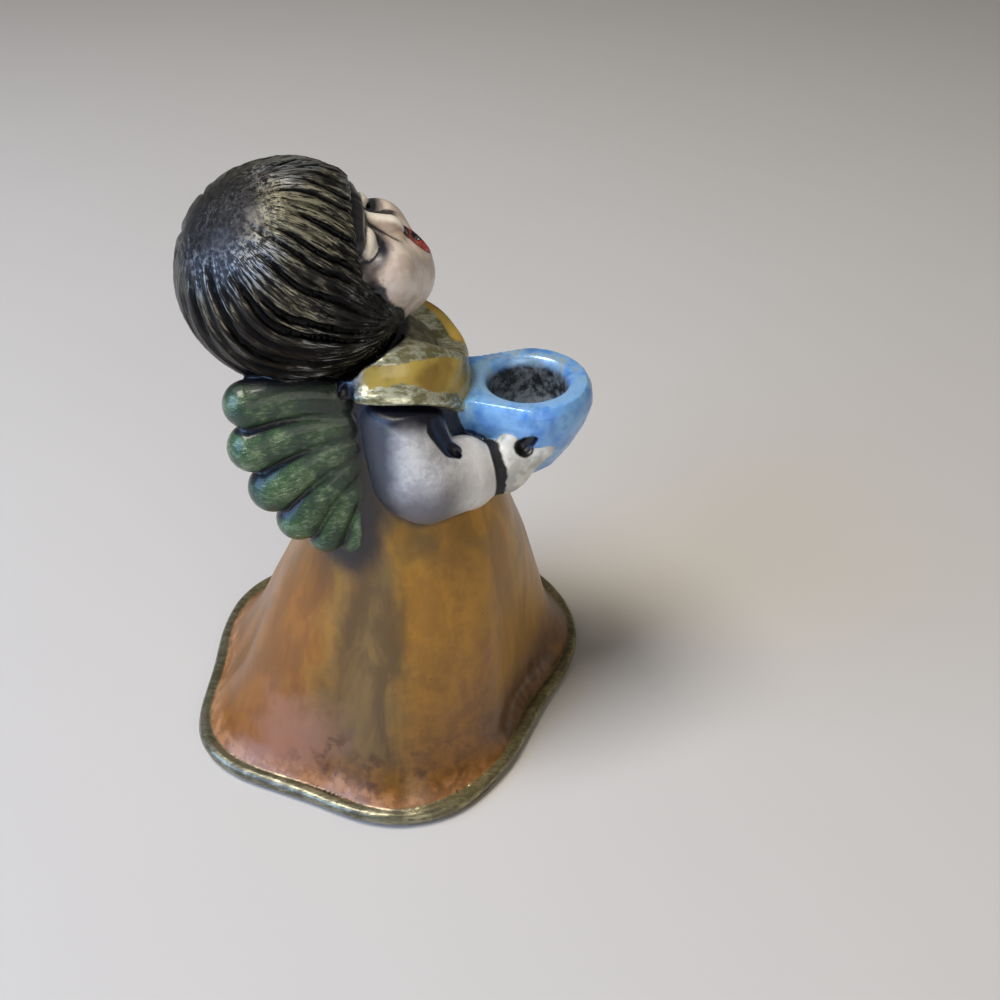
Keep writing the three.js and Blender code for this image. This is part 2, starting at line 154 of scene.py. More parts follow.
def join(first, second, fillet):
    share = np.clip(0.5 + 0.5 * (second - first) / fillet, 0, 1)
    return second + (first - second) * share - fillet * share * (1 - share)


def carve(shape, tool, fillet):
    return -join(-shape, tool, fillet)


def dot(parts, axis):
    return sum(part * step for part, step in zip(parts, axis))


def join_all(shapes, fillet):
    whole = shapes[0]
    for shape in shapes[1:]:
        whole = join(whole, shape, fillet)
    return whole


def along(heights, values, height):
    """A smooth curve through the values at the given heights."""
    heights = np.array(heights, float)
    values = np.array(values, float)
    steps = np.diff(values) / np.diff(heights)
    middles = (values[2:] - values[:-2]) / (heights[2:] - heights[:-2])
    climb = np.concatenate([steps[:1], middles, steps[-1:]])
    i = np.clip(np.searchsorted(heights, height) - 1, 0, len(heights) - 2)
    span = heights[i + 1] - heights[i]
    share = np.clip((height - heights[i]) / span, 0, 1)
    rise = values[i + 1] - values[i]
    start = climb[i] * span
    end = climb[i + 1] * span
    bend = 3 * rise - 2 * start - end + share * (start + end - 2 * rise)
    return values[i] + share * (start + share * bend)


def bump(angle, turn, spread):
    away = (angle - turn + 180) % 360 - 180
    return np.exp(-(away / spread) ** 2)


def limb(spot, start, end, start_radius, end_radius, arch=0.0):
    direction = [b - a for a, b in zip(start, end)]
    away = less(spot, start)
    share = np.clip(dot(away, direction) / dot(direction, direction), 0, 1)
    if arch:
        away[2] = away[2] - arch * np.sin(np.pi * share)
    offset = [a - share * d for a, d in zip(away, direction)]
    return length(offset) - (start_radius + (end_radius - start_radius) * share)


def egg(spot, centre, radii):
    away = less(spot, centre)
    near = length([part / radius for part, radius in zip(away, radii)])
    steep = length([part / radius ** 2 for part, radius in zip(away, radii)])
    return near * (near - 1) / np.maximum(steep, 1e-6)


def long_egg(spot, centre, radius, half_length, axis):
    """An egg that is round across a slanting long axis."""
    size = math.sqrt(dot(axis, axis))
    away = less(spot, centre)
    lengthwise = sum(part * step / size for part, step in zip(away, axis))
    across = np.sqrt(np.maximum(dot(away, away) - lengthwise ** 2, 0))
    return egg([across, 0 * across, lengthwise], (0, 0, 0), (radius, radius, half_length))


def lathed(across, height, profile):
    """A shape turned round an axis, from a closed outline of radius and height."""
    nearest = np.full(across.shape, 1e9)
    inside = np.zeros(across.shape, bool)
    for (r0, h0), (r1, h1) in zip(profile, profile[1:] + profile[:1]):
        if r0 == 0 and r1 == 0:
            continue
        run, rise = r1 - r0, h1 - h0
        share = np.clip(((across - r0) * run + (height - h0) * rise) / (run * run + rise * rise), 0, 1)
        away = (across - r0 - share * run) ** 2 + (height - h0 - share * rise) ** 2
        nearest = np.minimum(nearest, away)
        if rise:
            crossing = ((h0 > height) != (h1 > height)) & (across < r0 + run * (height - h0) / rise)
            inside ^= crossing
    return np.where(inside, -1, 1) * np.sqrt(nearest)


def turn_round(spot, middle):
    """Degrees from straight ahead, round an upright axis."""
    return np.degrees(np.arctan2(spot[1], spot[0] - middle))


def mirrored(spot, side):
    return [spot[0], side * spot[1], spot[2]]


def both_sides(shape, spot):
    return np.minimum(shape(mirrored(spot, 1)), shape(mirrored(spot, -1)))


# The robe and its hem.

def hem_reach(turn):
    return HEM_BASE + sum(reach * bump(turn, at, spread) for at, reach, spread in HEM_LOBES)


def robe(spot):
    forward, left, up = spot
    middle = along(AXIS_HEIGHTS, AXIS_FORWARD, up)
    turn = turn_round(spot, middle)
    reach = hem_reach(turn)
    hem_fade = np.clip(1 - up / HEM_FADE_HEIGHT, 0, 1) ** 1.3
    fold_fade = np.clip(1 - up / FOLD_FADE_HEIGHT, 0, 1) ** 0.7
    folds = sum(height * bump(turn, at, spread) for at, height, spread in FOLDS)
    radius = ROBE_RADIUS * along(ROBE_HEIGHTS, ROBE_SHARE, up)
    radius = radius + (reach - ROBE_RADIUS) * hem_fade + folds * fold_fade
    at, spread, height, rise, depth = VALLEY
    radius = radius - depth * (bump(turn, at, spread) * np.exp(-((up - height) / rise) ** 2))
    radius = np.where(up < UNDER_HEM_HEIGHT, np.minimum(radius, reach - BEAD_INSET), radius)
    side = (np.hypot(forward - middle, left) - radius) * SLANT
    return np.maximum(side, up - ROBE_TOP)


def bead(spot):
    forward, left, up = spot
    turn = turn_round(spot, AXIS_FORWARD[0])
    waver = 0.22 * np.sin(np.radians(turn * 7 + 40)) + 0.16 * np.sin(np.radians(turn * 13))
    across = np.hypot(forward - AXIS_FORWARD[0], left) - (hem_reach(turn) - BEAD_INSET)
    thickness = BEAD_RADIUS - 0.12 + 0.1 * np.sin(np.radians(turn * 5 + 80))
    return np.hypot(across, up - BEAD_HEIGHT - 0.15 * waver) - thickness


def torso(spot):
    trunk = limb(spot, (5, 0, 60), (3.5, 0, 74), 12.2, 10.0)
    nape = egg(spot, (-4.5, 0, 76), (10.5, 6.5, 7.5))
    return join(trunk, nape, 1.5)


# The head, in its own forward, left and up directions.

def head_axes():
    tilt, turned, roll = (math.radians(angle) for angle in (HEAD_TILT, HEAD_TURN, HEAD_ROLL))
    ahead = np.array([math.cos(tilt) * math.cos(turned), math.cos(tilt) * math.sin(turned), math.sin(tilt)])
    level = np.array([-math.sin(turned), math.cos(turned), 0.0])
    leftward = level * math.cos(roll) + np.cross(ahead, level) * math.sin(roll)
    return ahead, leftward, np.cross(ahead, leftward)


HEAD_AXES = head_axes()


def in_head(spot):
    away = less(spot, HEAD_CENTRE)
    return [dot(away, axis) for axis in HEAD_AXES]


CHANCE = np.random.RandomState(7)
LOCK_STARTS = CHANCE.uniform(0.12, 0.3, LOCKS)
LOCK_DEPTHS = np.where(np.arange(LOCKS) % 5 % 2 < 1, 1.15, 0.35) + CHANCE.uniform(-0.2, 0.2, LOCKS)
LOCK_SHIFTS = CHANCE.uniform(-0.14, 0.14, LOCKS)


def combed(head, side):
    """Turn round the whorl of the arc from the whorl to one side's corner, in radians, the share
    of the way along it, and how far apart two neighbouring locks are, in millimetres."""
    size = np.maximum(length(head), 1e-6)
    way = [part / size for part in head]
    whorl = np.array(WHORL) / np.linalg.norm(WHORL)
    corner = np.array(LOCK_CORNER) * (1, side, 1)
    corner = corner / np.linalg.norm(corner)
    across = np.cross(corner, whorl)
    across = across / np.linalg.norm(across)
    ahead = np.cross(across, corner)
    # Seen flat from the corner, the locks are straight spokes round the whorl.
    depth = np.maximum(1 - dot(way, corner), 1e-9)
    whorl_ahead = (whorl @ ahead) / (1 - whorl @ corner)
    around = np.arctan2(dot(way, across) / depth, dot(way, ahead) / depth - whorl_ahead)
    from_whorl = np.sqrt(np.maximum(2 - 2 * dot(way, whorl), 0))
    to_corner = np.sqrt(np.maximum(2 - 2 * dot(way, corner), 0))
    spacing = HEAD_RADIUS * from_whorl * to_corner / np.linalg.norm(whorl - corner) * 2 * np.pi / LOCKS
    return around, from_whorl / (from_whorl + to_corner), spacing


def fringe(head):
    """Distance inside the face opening's outline, seen from the front: above zero on the hair."""
    half = np.where(head[2] > OPENING_MIDDLE, OPENING_TOP - OPENING_MIDDLE, OPENING_MIDDLE - OPENING_BOTTOM)
    across = np.abs(head[1] / OPENING_HALF_WIDTH) ** OPENING_POWER
    upward = np.abs((head[2] - OPENING_MIDDLE) / half) ** OPENING_POWER
    return ((across + upward) ** (1 / OPENING_POWER) - 1) * 9.5


def grooves(head):
    """Depth, from 0 to about 1, of the grooves between the locks."""
    on_far_side = smooth_step(head[1], -1.5, 2.5)
    depth = 0
    for side, weight in ((-1, 1 - on_far_side), (1, on_far_side)):
        around, share_along, spacing = combed(head, side)
        sway = 0.05 * np.sin(share_along * 9 + 1.0) + 0.025 * np.sin(share_along * 23)
        place = (around + sway) / (2 * np.pi) * LOCKS
        index = np.floor(place).astype(int) % LOCKS
        share = place - np.floor(place)
        fade = smooth_step(share_along, LOCK_STARTS[index], LOCK_STARTS[index] + 0.16)
        line = np.exp(-((share - 0.5 - LOCK_SHIFTS[index]) / 0.18) ** 2)
        rounded = 0.5 - 0.5 * np.cos(2 * np.pi * share)
        groove = 0.3 * rounded + 0.8 * LOCK_DEPTHS[index] * line
        depth = depth + weight * groove * fade * np.clip(spacing / 2.8, 0, 1.15)
    front_edge = np.where(head[0] > OPENING_BACK, smooth_step(fringe(head), -0.5, 3.0), 1)
    at_back = smooth_step(head[0], -14.5, -6.5)
    return depth * (0.35 + 0.65 * front_edge) * (0.12 + 0.88 * at_back)


def hair(head):
    size = np.maximum(length(head), 1e-6)
    radius = HEAD_RADIUS
    for towards, height, spread in HAIR_SWELLS:
        cosine = dot(head, towards) / (size * math.sqrt(dot(towards, towards)))
        away = np.degrees(np.arccos(np.clip(cosine, -1, 1)))
        radius = radius + height * np.exp(-(away / spread) ** 2)
    ball = size - radius + 0.95 * grooves(head)
    opening = np.maximum(fringe(head), OPENING_BACK - head[0])
    return carve(ball, opening, 0.9)


def eyelid(head):
    return long_egg(head, (14.1, 6.1, -2.2), 1.45, 2.7, (-1.3, 3.2, -1.0))


def lash(head):
    """The drooping line under a closed lid."""
    return limb(head, (14.9, 4.4, -2.9), (14.3, 7.4, -4.2), 0.3, 0.4)


def brow(head):
    """The ridge between the fringe and one eye."""
    return limb(head, (14.4, 1.0, 0.9), (13.0, 7.0, 0.3), 2.1, 2.3)


def lips(head):
    return egg(head, (16.2, 0.0, -10.5), (1.9, 2.9, 3.8))


def mouth(head):
    """The shallow red dish of the open mouth."""
    return egg(head, (18.2, 0.2, -10.3), (1.35, 2.1, 3.0))


def throat(head):
    """The dark slit in the middle of the mouth."""
    return egg(head, (17.6, 1.8, -10.8), (1.1, 0.45, 0.9))


def nostril(head):
    return egg(head, (17.2, 1.1, -8.3), (0.8, 0.5, 0.9))


def under_nose(head):
    """The groove from a nostril down beside the mouth."""
    return limb(head, (16.8, 1.7, -8.6), (15.9, 3.2, -10.8), 0.4, 0.5)


def nose(head):
    bridge = limb(head, (14.2, 0, -1.0), (16.1, 0, -5.4), 0.9, 1.8)
    tip = join(bridge, egg(head, (16.2, 0, -6.4), (1.9, 2.0, 1.9)), 0.7)
    for side in (1, -1):
        tip = join(tip, egg(mirrored(head, side), (15.8, 1.9, -7.4), (1.5, 1.35, 1.3)), 0.6)
    return tip


def face(head):
    skull = egg(head, (3.0, 0, -5.4), (12.6, 13.2, 12.6))
    skull = join(skull, both_sides(brow, head), 1.4)
    cheeks = [egg(mirrored(head, side), (12.0, 6.3, -7.7), (5.3, 5.1, 5.1)) for side in (1, -1)]
    cheeks = join(*cheeks, 1.0)
    jaw = join(egg(head, (10.6, 0, -11.8), (7.0, 7.0, 6.8)), cheeks, 3.4)
    skull = join(skull, jaw, 1.8)
    skull = carve(skull, both_sides(under_nose, head), 0.9)
    skull = join(skull, nose(head), 0.9)
    skull = join(skull, both_sides(eyelid, head), 0.5)
    skull = carve(skull, both_sides(lash, head), 0.3)
    skull = join(skull, lips(head), 0.8)
    skull = carve(skull, mouth(head), 0.4)
    skull = carve(skull, throat(head), 0.2)
    return carve(skull, both_sides(nostril, head), 0.2)


def neck(spot):
    return limb(spot, (2.5, 0, 70), (4.6, 0, 74.6), 9.5, 7.6)


# The cape, sleeves, hands, wings and cup.

def cape_edges(spot):
    """Heights above the cape's lower edge and below its neckline."""
    turn = turn_round(spot, CAPE_FORWARD)
    low, low_rise, low_spread = CAPE_EDGE
    top, top_rise, top_spread = NECKLINE
    foot = low + low_rise * (1 - np.exp(-(turn / low_spread) ** 2))
    crest = top + top_rise * (1 - np.exp(-(turn / top_spread) ** 2))
    return spot[2] - foot, crest - spot[2]


def cape_side(spot):
    """Distance outside the cape's flank."""
    turn = turn_round(spot, CAPE_FORWARD)
    sideways = np.sin(np.radians(turn)) ** 2
    front = np.where(np.abs(turn) < 90, along(CAPE_HEIGHTS, CAPE_FRONT, spot[2]), CAPE_BACK)
    radius = front * (1 - sideways) + along(CAPE_HEIGHTS, CAPE_SIDE, spot[2]) * sideways
    return (np.hypot(spot[0] - CAPE_FORWARD, spot[1]) - radius) * SLANT


def cape(spot):
    above, below = cape_edges(spot)
    trim = 0.3 * np.exp(-((above - 1.2) / 1.1) ** 2) + 0.25 * np.exp(-((below - 1.4) / 1.1) ** 2)
    return carve(carve(cape_side(spot) - trim, above, 0.9), below, 1.2)


def cape_end(spot):
    """The slot between the front end of a wing and the end of the cape."""
    return limb(spot, (-1.2, 12.0, 82.0), (-1.0, 15.6, 73.0), 1.1, 1.1)


def pinch(spot):
    """The deep fold above the elbow."""
    return limb(spot, (13.8, 15.0, 73.2), (16.2, 14.9, 65.6), 1.7, 0.4)


def sleeve(spot):
    upper = limb(spot, (7.0, 11.0, 71.2), (9.0, 14.2, 63.4), 6.5, 7.4)
    lower = limb(spot, (10.8, 14.1, 62.4), (16.4, 11.6, 61.4), 7.5, 6.2)
    puff = egg(spot, (16.4, 11.4, 63.2), (4.4, 4.4, 4.8))
    arm = join(upper, join(lower, puff, 1.0), 0.5)
    return carve(arm, pinch(spot), 0.5)


def hand(spot):
    wrist = limb(spot, (16.4, 11.6, 61.4), (23.0, 9.2, 61.4), 4.9, 4.5)
    fingers = limb(spot, (23.0, 9.2, 61.4), (29.6, 8.4, 64.2), 4.5, 1.7)
    thumb = limb(spot, (23.4, 9.4, 62.8), (24.2, 8.8, 66.4), 2.4, 1.8)
    return join(join(wrist, fingers, 1.0), thumb, 0.8)


def wing(spot):
    feathers = [limb(spot, root, tip, thick, thin, FEATHER_ARCH) for root, tip, thick, thin in FEATHERS]
    return join_all(feathers, 0.5)


def finger_hole(spot):
    """The small gap between thumb, fingers and cup."""
    return limb(spot, (26.5, 10.5, 65.9), (27.7, 10.0, 67.4), 1.25, 0.7)


def cup(spot):
    """The bowl, which runs back into the chest in a neck that narrows a little."""
    ahead = spot[0] - CUP_FORWARD
    back = np.clip(-ahead / CUP_NECK_LENGTH, 0, 1)
    narrow = 1 - (1 - CUP_NECK_WIDTH) * back
    across = np.hypot(ahead + CUP_NECK_LENGTH * back, spot[1] / narrow)
    return lathed(across, spot[2] - CUP_TOP, CUP_PROFILE)


def bore(spot):
    return lathed(np.hypot(spot[0] - CUP_FORWARD, spot[1]), spot[2] - CUP_TOP, BORE_PROFILE)


def zones(spot):
    """Every painted zone's own shape. Slots part the cape from the hair, the sleeves and the wings."""
    head = in_head(spot)
    bob = hair(head)
    collar = carve(cape(spot), bob - 1.1, 0.5)
    collar = carve(collar, both_sides(cape_end, spot), 0.5)
    return {
        "robe": np.minimum(robe(spot), torso(spot)),
        "bead": bead(spot),
        "hair": bob,
        "face": join(face(head), neck(spot), 1.5),
        "cape": collar,
        "sleeve": carve(both_sides(sleeve, spot), collar - 0.9, 0.6),
        "hand": both_sides(hand, spot),
        "wing": both_sides(wing, spot),
        "cup": cup(spot),
    }


FILLETS = {"bead": 0.5, "hair": 0.3, "face": 0.3, "cape": 0.35, "sleeve": 0.4, "hand": 0.5, "wing": 0.4,
           "cup": 0.5}


def figure(spot, shapes=None):
    shapes = shapes or zones(spot)
    whole = shapes["robe"]
    for name, fillet in FILLETS.items():
        whole = join(whole, shapes[name], fillet)
    whole = carve(whole, both_sides(finger_hole, spot), 0.3)
    whole = carve(whole, bore(spot), 0.7)
    return np.maximum(whole, -spot[2])


# From the lump of distances to a skin of faces.

def every_cell(counts):
    return np.stack(np.meshgrid(*(np.arange(count) for count in counts), indexing="ij"), -1).reshape(-1, 3)


def sampled(low, high, step, block=8):
    """Distances on a grid, worked out only in the blocks near the surface."""
    counts = [int(math.ceil((b - a) / step / block)) for a, b in zip(low, high)]
    corner = every_cell(counts)
    centres = np.array(low) + (corner * block + (block - 1) / 2) * step
    middle = figure(list(centres.T))
    reach = block * step * 0.87 * 1.5 + 1.5
    field = np.repeat(np.repeat(np.repeat(middle.reshape(counts), block, 0), block, 1), block, 2)
    near = corner[np.abs(middle) < reach]
    inner = every_cell((block,) * 3)
    for part in np.array_split(near, max(1, len(near) // 400)):
        cells = (part[:, None, :] * block + inner).reshape(-1, 3)
        spots = np.array(low) + cells * step
        field[tuple(cells.T)] = figure(list(spots.T))
    return field


def skin(field, low, step):
    """Points in the cells that the surface crosses, and a four-sided face round each crossed edge."""
    inside = field < 0
    cells = tuple(n - 1 for n in field.shape)
    count = np.zeros(cells, np.int8)
    corners = every_cell((2, 2, 2)).tolist()
    for i, j, k in corners:
        count += inside[i:cells[0] + i, j:cells[1] + j, k:cells[2] + k]
    mixed = (count > 0) & (count < 8)
    number = -np.ones(cells, np.int32)
    found = np.argwhere(mixed)
    number[mixed] = np.arange(len(found))
    total = np.zeros((len(found), 3))
    crossings = np.zeros(len(found))
    for a in corners:
        for b in corners:
            if sum(b) - sum(a) != 1 or any(y < x for x, y in zip(a, b)):
                continue
            start = field[tuple((found + a).T)]
            end = field[tuple((found + b).T)]
            crossed = (start < 0) != (end < 0)
            share = np.where(crossed, start / (start - end + 1e-30), 0)
            step_along = np.array(b) - np.array(a)
            total += np.where(crossed[:, None], np.array(a) + share[:, None] * step_along, 0)
            crossings += crossed
    points = np.array(low) + (found + total / crossings[:, None]) * step
    faces = []
    for axis in range(3):
        first = np.take(inside, np.arange(field.shape[axis] - 1), axis)
        second = np.take(inside, np.arange(1, field.shape[axis]), axis)
        edges = np.argwhere(first != second)
        one, two = (other for other in range(3) if other != axis)
        edges = edges[(edges[:, one] > 0) & (edges[:, two] > 0)]
        ring = []
        for back_one, back_two in ((0, 0), (1, 0), (1, 1), (0, 1)):
            place = edges.copy()
            place[:, one] -= back_one
            place[:, two] -= back_two
            ring.append(number[tuple(place.T)])
        ring = np.stack(ring, 1)
        flip = first[tuple(edges.T)] == (axis == 1)
        ring[flip] = ring[flip][:, ::-1]
        faces.append(ring)
    return points, np.concatenate(faces)


def slope(spot, reach=0.05):
    """The direction in which the distance grows, as a unit vector for each point."""
    steps = []
    for axis in range(3):
        ahead, behind = ([part + (move if i == axis else 0) for i, part in enumerate(spot)]
                         for move in (reach, -reach))
        steps.append(figure(ahead) - figure(behind))
    steps = np.stack(steps, 1) / (2 * reach)
    size = np.maximum(np.linalg.norm(steps, axis=1, keepdims=True), 1e-3)
    return steps / size, size[:, 0]


def settled(points, most):
    """Moves points onto the surface, no further than a limit."""
    direction, steepness = slope(list(points.T))
    away = np.clip(figure(list(points.T)) / steepness, -most, most)
    return points - direction * away[:, None]


def unevenness(points, size, seed):
    """Smooth random heights from -1 to 1, in lumps of about the given size."""
    lattice = np.random.RandomState(seed).uniform(-1, 1, (32, 32, 32))
    grid = points / size
    cell = np.floor(grid).astype(int)
    share = grid - cell
    share = share * share * (3 - 2 * share)
    total = np.zeros(len(points))
    for corner in every_cell((2, 2, 2)):
        weight = np.prod(np.where(corner, share, 1 - share), 1)
        x, y, z = ((cell + corner) % 32).T
        total += weight * lattice[x, y, z]
    return total


def turned_out(points):
    """Forward, left and up places as Blender's metres, standing on the middle of the foot."""
    left_shift, forward_shift = STANDING_PLACE
    placed = np.stack([points[:, 1] - left_shift, forward_shift - points[:, 0], points[:, 2]], 1)
    return placed / 1000


def picked_up(places):
    """The same the other way round."""
    left_shift, forward_shift = STANDING_PLACE
    places = places * 1000
    return np.stack([forward_shift - places[:, 1], places[:, 0] + left_shift, places[:, 2]], 1)


def mesh_points(mesh):
    flat = np.empty(len(mesh.vertices) * 3)
    mesh.vertices.foreach_get("co", flat)
    return flat.reshape(-1, 3)


def store(mesh, name, values):
    layer = mesh.attributes.new(name, "FLOAT", "POINT")
    layer.data.foreach_set("value", np.asarray(values, np.float32))


def put_in_scene(name, data):
    thing = bpy.data.objects.new(name, data)
    bpy.context.scene.collection.objects.link(thing)
    return thing


def cast_figure():
    step = GRID_STEP
    low = (*CLAY_LOW, -STEPS_BELOW_FOOT * step)
    field = sampled(low, CLAY_HIGH, step)
    points, faces = skin(field, low, step)
    points = settled(points, step)
    mesh = bpy.data.meshes.new("angel_candleholder_glazed")
    mesh.from_pydata(turned_out(points).tolist(), [], faces.tolist())
    angel = put_in_scene("angel_glazed", mesh)
    if len(faces) * 2 > MOST_FACES:
        thin = angel.modifiers.new("fewer faces", "DECIMATE")
        thin.ratio = MOST_FACES / (len(faces) * 2)
        bpy.context.view_layer.update()
        seen = angel.evaluated_get(bpy.context.evaluated_depsgraph_get())
        mesh = bpy.data.meshes.new_from_object(seen)
        angel.modifiers.clear()
        angel.data = mesh
        finer_face(mesh)
    points = settled(picked_up(mesh_points(mesh)), LAST_MOVE)
    painted(mesh, points)
    mesh.shade_smooth()
    return angel


def drop_crumbs(work):
    """Deletes the loose crumbs, those that share no edge with the figure."""
    seen = set()
    crumbs = []
    for first in work.faces:
        if first in seen:
            continue
        seen.add(first)
        lump, waiting = [], [first]
        while waiting:
            face = waiting.pop()
            lump.append(face)
            beside = {other for edge in face.edges for other in edge.link_faces} - seen
            seen |= beside
            waiting += beside
        if len(lump) < CRUMB_FACES:
            crumbs += lump
    bmesh.ops.delete(work, geom=crumbs, context="FACES")


def finer_face(mesh):
    """Splits the faces round the small features of the face."""
    work = bmesh.new()
    work.from_mesh(mesh)
    drop_crumbs(work)
    centres = np.array([face.calc_center_median()[:] for face in work.faces])
    forward, left, up = in_head(list(picked_up(centres).T))
    chosen = (forward > FINE_FORWARD) & (np.abs(left) < FINE_LEFT) & (up > FINE_UP[0]) & (up < FINE_UP[1])
    chosen_edges = {edge for face, take in zip(work.faces, chosen) if take for edge in face.edges}
    bmesh.ops.subdivide_edges(work, edges=list(chosen_edges), cuts=1, use_grid_fill=True)
    bmesh.ops.triangulate(work, faces=[face for face in work.faces if len(face.verts) > 3])
    work.to_mesh(mesh)
    work.free()


def painted(mesh, points):
    """Gives the mesh its places, its low relief and what the paint needs to know of every point."""
    direction, _ = slope(list(points.T))
    spot = list(points.T)
    shapes = zones(spot)
    head = in_head(spot)
    sides = zip(combed(head, -1), combed(head, 1))
    around, share_along, _ = (np.where(head[1] < 0.5, near, far) for near, far in sides)
    names = list(shapes)
    heights = np.stack([shapes[name] for name in names])
    owner = heights.argmin(0)

    # Low relief: strands in the hair, brush and thumb marks elsewhere.
    strands = np.sin(around * LOCKS * 2 + 2.6 * unevenness(points, 7, 3))
    strands = strands * smooth_step(share_along, 0.25, 0.45)
    relief = 0.05 * unevenness(points, 3.0, 5) + 0.1 * unevenness(points, 9.0, 6) - 0.06
    relief += (owner == names.index("hair")) * (0.09 * strands + 0.09 * unevenness(points, 1.8, 8) - 0.1)
    relief += (owner == names.index("bead")) * (0.22 * unevenness(points, 7.0, 9) - 0.18)
    relief[owner == names.index("face")] *= FACE_RELIEF
    relief[points[:, 2] < FOOT_HEIGHT] = 0
    shifted = points + direction * relief[:, None]
    shifted[:, 2] = np.maximum(shifted[:, 2], 0)
    mesh.vertices.foreach_set("co", turned_out(shifted).astype(np.float32).ravel())

    for index, name in enumerate(names):
        others = np.delete(heights, index, 0).min(0)
        store(mesh, name, np.clip(others - heights[index], -PAINT_REACH, PAINT_REACH))
    details = {"nose": nose(head), "mouth": mouth(head), "throat": throat(head), "bore": bore(spot),
               "neck": neck(spot)}
    for name, shape, place in (
            ("lids", eyelid, head), ("lashes", lash, head), ("under_nose", under_nose, head),
            ("nostrils", nostril, head), ("pinch", pinch, spot), ("finger_hole", finger_hole, spot)):
        details[name] = both_sides(shape, place)
    for name, shape in details.items():
        store(mesh, name, np.clip(-shape, -PAINT_REACH, PAINT_REACH))
    above, below = cape_edges(spot)

    def outward(distance):
        return figure(list((points + direction * distance).T)) / distance

    for name, values in {
            "cape_hem": above, "neckline": below, "cape_side": cape_side(spot), "groove": grooves(head),
            "comb_x": np.cos(around), "comb_y": np.sin(around), "from_whorl": share_along,
            "head_up": head[2], "head_left": head[1], "back_of_head": -head[0],
            "crease": np.clip(1 - outward(CREASE_REACH), 0, 1),
            "hollow": np.clip(1 - outward(HOLLOW_REACH), 0, 1)}.items():
        store(mesh, name, values)


# Colours are what the eye sees in the photograph, from 0 to 255.

def paint_colour(red, green, blue):
    def linear(value):
        value = value / 255
        return value / 12.92 if value <= 0.04045 else ((value + 0.055) / 1.055) ** 2.4
    return (linear(red), linear(green), linear(blue), 1.0)


def maths(operation, reflected=False):
    def work(self, other):
        pair = (other, self) if reflected else (self, other)
        return self.glaze.node("ShaderNodeMath", {"operation": operation}, dict(enumerate(pair)))
    return work


class Shade:
    """A number that changes over the surface. Sums on it add the nodes that work them out."""

    def __init__(self, glaze, socket):
        self.glaze = glaze
        self.socket = socket

    __add__, __radd__ = maths("ADD"), maths("ADD", True)
    __sub__, __rsub__ = maths("SUBTRACT"), maths("SUBTRACT", True)
    __mul__, __rmul__ = maths("MULTIPLY"), maths("MULTIPLY", True)

    def sway(self, amount):
        """Turns noise that lies from 0 to 1 into a swing about zero."""
        return (self - 0.5) * amount


class Glaze:
    """One painted finish."""

    def __init__(self, name):
        self.material = bpy.data.materials.new(name)
        self.material.use_nodes = True
        self.tree = self.material.node_tree
        self.tree.nodes.clear()

    def node(self, kind, settings, sockets, output=0):
        made = self.tree.nodes.new(kind)
        for name, value in settings.items():
            setattr(made, name, value)
        for name, value in sockets.items():
            if isinstance(value, Shade):
                self.tree.links.new(value.socket, made.inputs[name])
            else:
                made.inputs[name].default_value = value
        return None if output is None else Shade(self, made.outputs[output])

    def known(self, name):
        return self.node("ShaderNodeAttribute", {"attribute_name": name}, {}, "Fac")

    def place(self):
        here = self.node("ShaderNodeTexCoord", {}, {}, "Object")
        return self.node("ShaderNodeVectorMath", {"operation": "SCALE"}, {0: here, "Scale": 1000.0}, 0)

    def stretched(self, place, scale, turn=(0.0, 0.0, 0.0)):
        return self.node("ShaderNodeMapping", {}, {"Vector": place, "Scale": scale, "Rotation": turn})

    def noise(self, place, size, detail=3.0, rough=0.55, warp=0.0):
        return self.node("ShaderNodeTexNoise", {}, {
            "Vector": place, "Scale": 1.0 / size, "Detail": detail, "Roughness": rough,
            "Distortion": warp}, 0)

    def rise(self, value, low, high):
        """Goes smoothly from 0 at low to 1 at high."""
        return self.node("ShaderNodeMapRange", {"interpolation_type": "SMOOTHSTEP", "clamp": True}, {
            "Value": value, "From Min": low, "From Max": high, "To Min": 0.0, "To Max": 1.0})

    def fall(self, value, low, high):
        """Goes smoothly from 1 at low to 0 at high."""
        return 1.0 - self.rise(value, low, high)

    def dips(self, hollow):
        """How deep in a crease a place is, and by a share how deep in a hollow."""
        return self.known("crease") + self.known("hollow") * hollow

    def band(self, value, low, high, soft):
        """One between low and high, with soft ends."""
        return self.rise(value, low - soft, low + soft) * self.fall(value, high - soft, high + soft)

    def part(self, place, index):
        """One of a place's three parts: sideways, back or up."""
        return self.node("ShaderNodeSeparateXYZ", {}, {0: place}, index)

    def mix(self, share, first, second):
        """Goes from the first colour, at a share of 0, to the second, at 1."""
        first, second = (paint_colour(*part) if isinstance(part, tuple) and len(part) == 3 else part
                         for part in (first, second))
        return self.node("ShaderNodeMix", {"data_type": "RGBA", "clamp_factor": True}, {
            0: share, 6: first, 7: second}, 2)

    def mottled(self, value, low, high, first, second):
        """The first colour where the value is low, going over to the second."""
        return self.mix(self.rise(value, low, high), first, second)

    def most(self, first, second):
        return self.node("ShaderNodeMath", {"operation": "MAXIMUM"}, {0: first, 1: second})


class Coat:
    """One zone of paint: its colour, and then how rough, how metallic, how glossy and how thick it is."""

    def __init__(self, colour, *finish):
        self.colour = colour
        self.finish = finish

    def under(self, glaze, mask, other):
        """This coat with another laid over it where the mask is one."""
        return Coat(glaze.mix(mask, self.colour, other.colour),
                    *((second - first) * mask + first for first, second in zip(self.finish, other.finish)))


def skirt_turn(g, at):
    """Degrees round the robe from straight ahead, as seen on the skirt."""
    left = g.part(at, 0) + STANDING_PLACE[0]
    ahead = STANDING_PLACE[1] - 4.0 - g.part(at, 1)
    return maths("ARCTAN2")(left, ahead) * (180 / math.pi)


